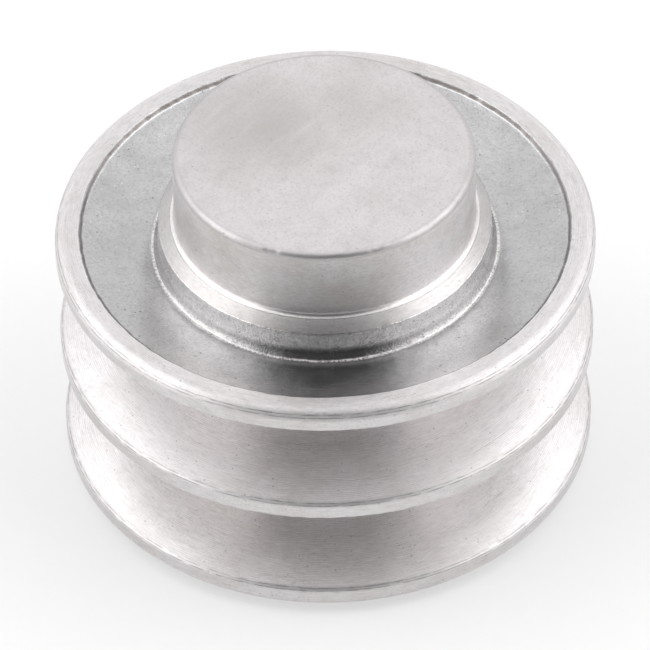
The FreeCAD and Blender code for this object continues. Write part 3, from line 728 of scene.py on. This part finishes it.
def casting_finishes():
    """The casting's materials, in the order of FACED to BORED."""
    return [
        faced_aluminium("faced_aluminium"),
        turned_aluminium("boss_aluminium", contrast=0.05, depth=0.0008, tint=(0.75, 0.73, 0.733),
                         roughness=0.34, stain=0.9),
        turned_aluminium("ledge_aluminium", contrast=0.06, tint=(0.53, 0.517, 0.515), roughness=0.44),
        turned_aluminium("turned_aluminium"),
        turned_aluminium("worn_edges", pitch_mm=0.31, contrast=0.16, depth=0.006,
                         tint=(0.69, 0.672, 0.675), roughness=0.52, stain=0.3, dark_edge_lines=edge_lines()),
        turned_aluminium("grooved_aluminium", pitch_mm=0.42, contrast=0.13, depth=0.004,
                         tint=(0.75, 0.731, 0.735), roughness=0.31),
        cast_aluminium("cast_wall", tint=(0.66, 0.65, 0.65), roughness=0.22, grit=3.6),
        cast_aluminium("cast_skin"),
        cast_aluminium("rear_cast_skin", tint=(0.46, 0.462, 0.46), roughness=0.28, grit=1.4),
        turned_aluminium("bored_aluminium", pitch_mm=0.40, contrast=0.06, depth=0.002),
    ]


def make_casting():
    """The whole casting as one turned mesh, with each finish in its own slot."""
    points = profile_from(casting_corners(), SPACING)
    piece = lathe("pulley_casting_finished", points, REAR_FACE, casting_finishes(), roughen_casting)
    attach(piece, "pulley")
    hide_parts("pulley_casting")


def give_material(names, material):
    """One material for CAD nodes that stay as they are."""
    for name in names:
        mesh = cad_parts[name].data
        mesh.materials.clear()
        mesh.materials.append(material)


def finish_inner_pieces():
    """Materials for every CAD node that stays."""
    bearings = ("front_bearing_", "rear_bearing_")
    rings = [bearing + part for bearing in bearings for part in ("outer_ring", "inner_ring")]
    balls = [bearing + "balls" for bearing in bearings]
    cages = [bearing + "cage" for bearing in bearings]
    seals = [bearing + side for bearing in bearings for side in ("front_seal", "rear_seal")]
    axle_pieces = ["inner_spacer_sleeve", "outer_spacer_ring", "axle_bush"]
    give_material(rings, steel("bearing_ring_steel", (0.62, 0.62, 0.63), 0.16))
    give_material(balls, steel("ball_steel", (0.72, 0.72, 0.74), 0.07, depth=0.0005))
    give_material(cages, moulded("cage_nylon", (0.62, 0.55, 0.40), 0.45, grain_mm=0.4, depth=0.01))
    give_material(seals, moulded("seal_rubber", (0.030, 0.028, 0.027), 0.55, grain_mm=0.25, depth=0.012))
    give_material(axle_pieces, steel("axle_steel", (0.50, 0.49, 0.48), 0.28))
    give_material(["rear_collar", "dust_shield"], plated_steel("zinc_plate"))
    blackened = steel("phosphated_steel", (0.20, 0.19, 0.18), 0.42, depth=0.01)
    give_material(["housing_circlip", "axle_snap_ring"], blackened)


def make_stage():
    """A pale floor of glowing paper, a little below the collar so that the two faces don't coincide."""
    reach = 3.0
    drop = 0.0001
    corners = ((-reach, -reach), (reach, -reach), (reach, reach), (-reach, reach))
    mesh = bpy.data.meshes.new("floor")
    mesh.from_pydata([(x, y, -drop) for x, y in corners], [], [(0, 1, 2, 3)])
    floor = bpy.data.objects.new("floor", mesh)
    bpy.context.scene.collection.objects.link(floor)
    paper = Finish("floor_paper", metallic=0.0)
    paper.colour(paper.mixed(paper.noise(3.0, detail=2.0), (0.40, 0.40, 0.40), (0.42, 0.42, 0.42)))
    paper.shader.inputs["Roughness"].default_value = 0.9
    paper.shader.inputs["Emission Color"].default_value = (1, 1, 1, 1)
    paper.shader.inputs["Emission Strength"].default_value = 0.49
    mesh.materials.append(paper.material)


def make_world():
    """A bright room: soft boxes at both sides, and an unlit stretch towards the camera's side."""
    room = (1.17, 1.16, 1.17)
    boxes = (2.35, 2.32, 2.32)
    unlit = (0.11, 0.11, 0.113)
    backdrop = (1.2, 1.2, 1.2)
    world = bpy.data.worlds.new("studio")
    world.use_nodes = True
    wiring = Wiring(world.node_tree)
    place = wiring.add("ShaderNodeTexCoord").outputs["Generated"]

    def glow(azimuth, elevation, core, edge):
        """1 within core degrees of a direction, falling smoothly to 0 at edge degrees from it."""
        turn = math.radians(azimuth)
        rise = math.radians(elevation)
        direction = (math.sin(turn) * math.cos(rise), -math.cos(turn) * math.cos(rise), math.sin(rise))
        towards = wiring.add("ShaderNodeVectorMath", place, direction, operation="DOT_PRODUCT")
        fade = wiring.add(
            "ShaderNodeMapRange",
            towards.outputs["Value"],
            math.cos(math.radians(edge)),
            math.cos(math.radians(core)),
            interpolation_type="SMOOTHSTEP",
        )
        return fade.outputs[0]

    light = wiring.mixed(glow(azimuth=-74, elevation=34, core=14, edge=44), room, boxes)
    light = wiring.mixed(glow(azimuth=76, elevation=34, core=14, edge=42), light, boxes)
    light = wiring.mixed(glow(azimuth=0, elevation=32, core=34, edge=49), light, unlit)
    is_camera_ray = wiring.add("ShaderNodeLightPath").outputs["Is Camera Ray"]
    seen = wiring.mixed(is_camera_ray, light, backdrop)
    wiring.links.new(seen, wiring.nodes["Background"].inputs[0])
    bpy.context.scene.world = world


def make_light(name, place):
    """A square soft box aimed at the middle of the object."""
    middle = Vector((0, 0, 0.03))
    data = bpy.data.lights.new(name, "AREA")
    data.shape = "RECTANGLE"
    data.size = 0.8
    data.size_y = 0.8
    data.energy = 1.2
    light = bpy.data.objects.new(name, data)
    light.location = place
    light.rotation_euler = (middle - Vector(place)).to_track_quat("-Z", "Y").to_euler()
    bpy.context.scene.collection.objects.link(light)


def make_camera():
    """In front and 45 degrees up, turned a little so that the object's middle is the picture's middle."""
    distance = 0.86479
    elevation = math.radians(44.85)
    pitch = math.radians(0.955)
    pan = math.radians(0.0387)
    roll = math.radians(-1.071)
    data = bpy.data.cameras.new("camera")
    data.sensor_width = 36.0
    data.lens = 294.85
    data.clip_start = 0.05
    data.clip_end = 20.0
    camera = bpy.data.objects.new("camera", data)
    back = Vector((0, -math.cos(elevation), math.sin(elevation)))
    base = (-back).to_track_quat("-Z", "Y").to_matrix()
    turn = Matrix.Rotation(roll, 3, "Z") @ Matrix.Rotation(pitch, 3, "X") @ Matrix.Rotation(pan, 3, "Y")
    place = back * distance + Vector((0, 0, REAR_FACE * MM))
    camera.matrix_world = Matrix.Translation(place) @ (base @ turn).to_4x4()
    bpy.context.scene.collection.objects.link(camera)
    bpy.context.scene.camera = camera


make_casting()
finish_inner_pieces()
make_stage()
make_world()
make_light("left_box", (-0.70, 0.30, 0.90))
make_light("right_box", (0.70, 0.30, 0.90))
make_camera()
bpy.context.scene.view_settings.view_transform = "Standard"
